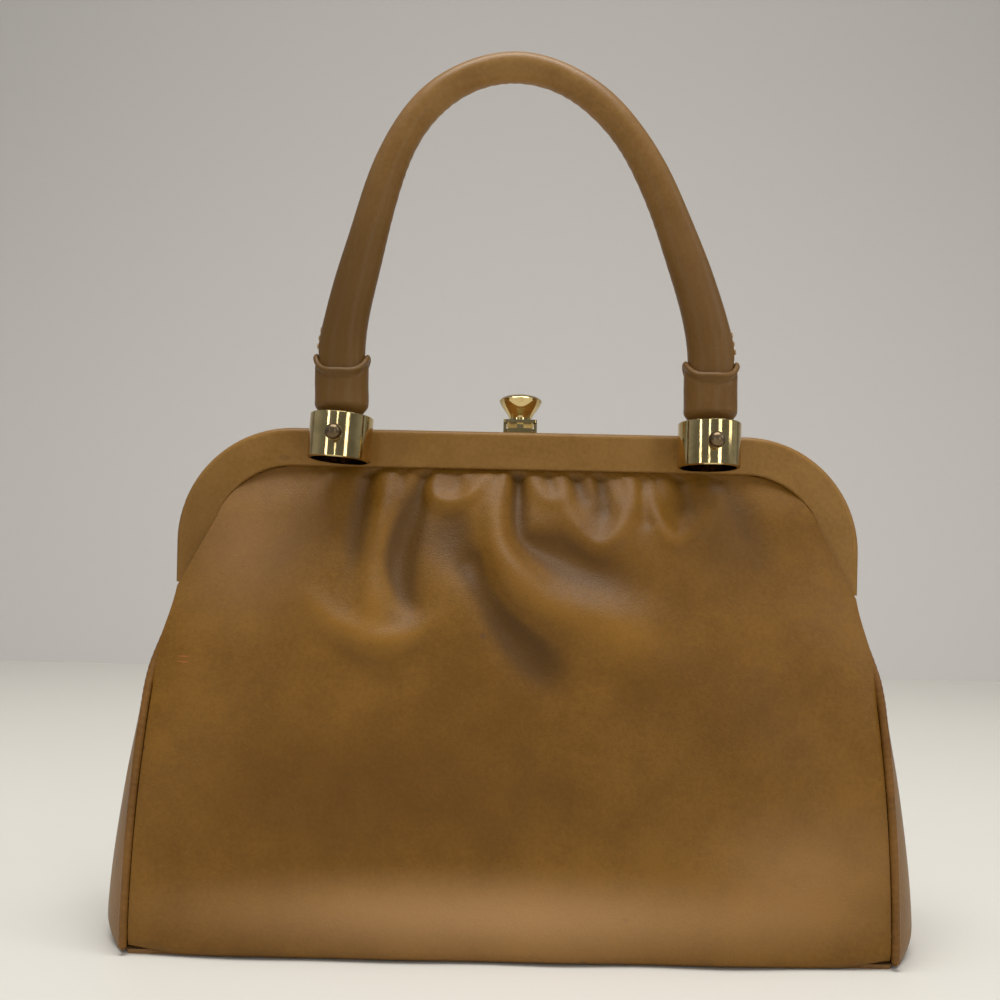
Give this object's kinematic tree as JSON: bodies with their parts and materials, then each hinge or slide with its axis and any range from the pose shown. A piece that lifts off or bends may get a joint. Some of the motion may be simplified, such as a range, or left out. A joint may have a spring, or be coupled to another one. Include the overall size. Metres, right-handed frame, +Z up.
{
  "type": "top handle handbag",
  "caption": "Leather frame bag with a gathered front, folding side gussets, arched rolled handle held in brass barrels, and a knob clasp on a hinged frame.",
  "frame": {"origin": "centre of the base on the surface that the bag stands on", "axes": "+X to the viewer's right across the front, +Y from front to back, +Z up"},
  "size_m": [0.3112, 0.0912, 0.336],
  "materials": {
    "leather": "smooth satin calf leather, tan",
    "frame_leather": "smooth satin calf leather, tan",
    "handle_leather": "smooth satin calf leather, tan",
    "piping_leather": "smooth satin calf leather, tan",
    "lining_cloth": "plain woven lining",
    "board": "grey-brown card",
    "paper_cord": "twisted paper cord",
    "steel": "plated",
    "polished_brass": "polished",
    "dark_bronze": "dark patina"
  },
  "bodies": {
    "bag_body": {"front_panel": "leather", "back_panel": "leather", "gusset_left": "leather", "gusset_right": "leather", "base_panel": "leather", "base_board": "board", "lining": "lining_cloth", "front_piping_left": "piping_leather", "front_piping_right": "piping_leather", "back_piping_left": "piping_leather", "back_piping_right": "piping_leather", "hinge_pin_left": "steel", "hinge_pin_right": "steel"},
    "front_frame": {"front_frame_channel": "steel", "front_frame_cover": "frame_leather", "front_filler_cord": "paper_cord", "handle_roll": "handle_leather", "handle_keeper_left": "handle_leather", "handle_keeper_right": "handle_leather", "handle_pin_left": "dark_bronze", "handle_pin_right": "dark_bronze", "pin_nut_left": "steel", "pin_nut_right": "steel", "clasp_catch": "polished_brass"},
    "back_frame": {"back_frame_channel": "steel", "back_frame_cover": "frame_leather", "back_filler_cord": "paper_cord", "clasp_bracket": "polished_brass", "clasp_hinge_pin": "polished_brass"},
    "clasp_arm": {"clasp_lever": "polished_brass", "clasp_knob": "polished_brass"},
    "left_barrel": {"handle_barrel_left": "polished_brass"},
    "right_barrel": {"handle_barrel_right": "polished_brass"}
  },
  "joints": [
    {"name": "front_half_open", "type": "hinge", "parent": "bag_body", "child": "front_frame", "pos_m": [0, 0, 0.128], "axis": [1, 0, 0], "range_deg": [0, 35], "deforming": ["front_panel", "back_panel", "gusset_left", "gusset_right", "lining", "front_piping_left", "front_piping_right"]},
    {"name": "back_half_open", "type": "hinge", "parent": "bag_body", "child": "back_frame", "pos_m": [0, 0, 0.128], "axis": [1, 0, 0], "range_deg": [-35, 0], "deforming": ["back_piping_left", "back_piping_right"]},
    {"name": "clasp_lift", "type": "hinge", "parent": "back_frame", "child": "clasp_arm", "pos_m": [0, 0.0086, 0.1989], "axis": [-1, 0, 0], "range_deg": [0, 70]},
    {"name": "left_barrel_rock", "type": "hinge", "parent": "front_frame", "child": "left_barrel", "pos_m": [-0.0676, -0.023, 0.1896], "axis": [0, 1, 0], "range_deg": [-9, 2]},
    {"name": "right_barrel_rock", "type": "hinge", "parent": "front_frame", "child": "right_barrel", "pos_m": [0.0714, -0.023, 0.1896], "axis": [0, 1, 0], "range_deg": [-5, 5]}
  ],
  "couplings": [
    {"joint": "back_half_open", "follows": "front_half_open", "ratio": -1}
  ]
}
